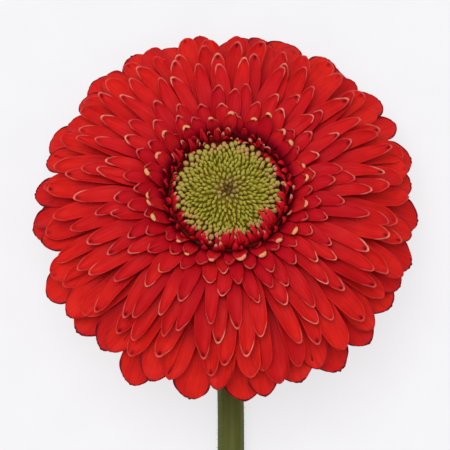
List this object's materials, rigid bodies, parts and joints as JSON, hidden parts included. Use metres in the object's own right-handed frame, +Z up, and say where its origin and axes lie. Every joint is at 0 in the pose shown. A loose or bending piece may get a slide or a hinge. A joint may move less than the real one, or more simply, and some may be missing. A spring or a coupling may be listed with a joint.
{
  "type": "gerbera flower",
  "caption": "Cut gerbera with a double red bloom and green disc, its short stem lying on a surface and the bloom facing up.",
  "frame": {"origin": "middle of the base of the whole flower's box, on the surface that it lies on", "axes": "+Z up from the surface, +Y from the cut end of the stem towards the bloom"},
  "size_m": [0.1126, 0.2512, 0.0516],
  "materials": {
    "stem": "olive green skin, finely ribbed and downy, satin",
    "involucre": "green overlapping bracts with darker tips, matte and downy",
    "ray_florets": "vivid red petals with a thin pale rim and a cream tip near the disc, soft satin",
    "trans_florets": "dark crimson small petals with cream tips, matte",
    "disc_florets": "yellow-green closed buds, paler at the edge and brown in the middle, matte"
  },
  "bodies": {
    "root": {"stem": "stem", "involucre": "involucre", "ray_florets": "ray_florets", "trans_florets": "trans_florets", "disc_florets": "disc_florets"}
  },
  "joints": []
}
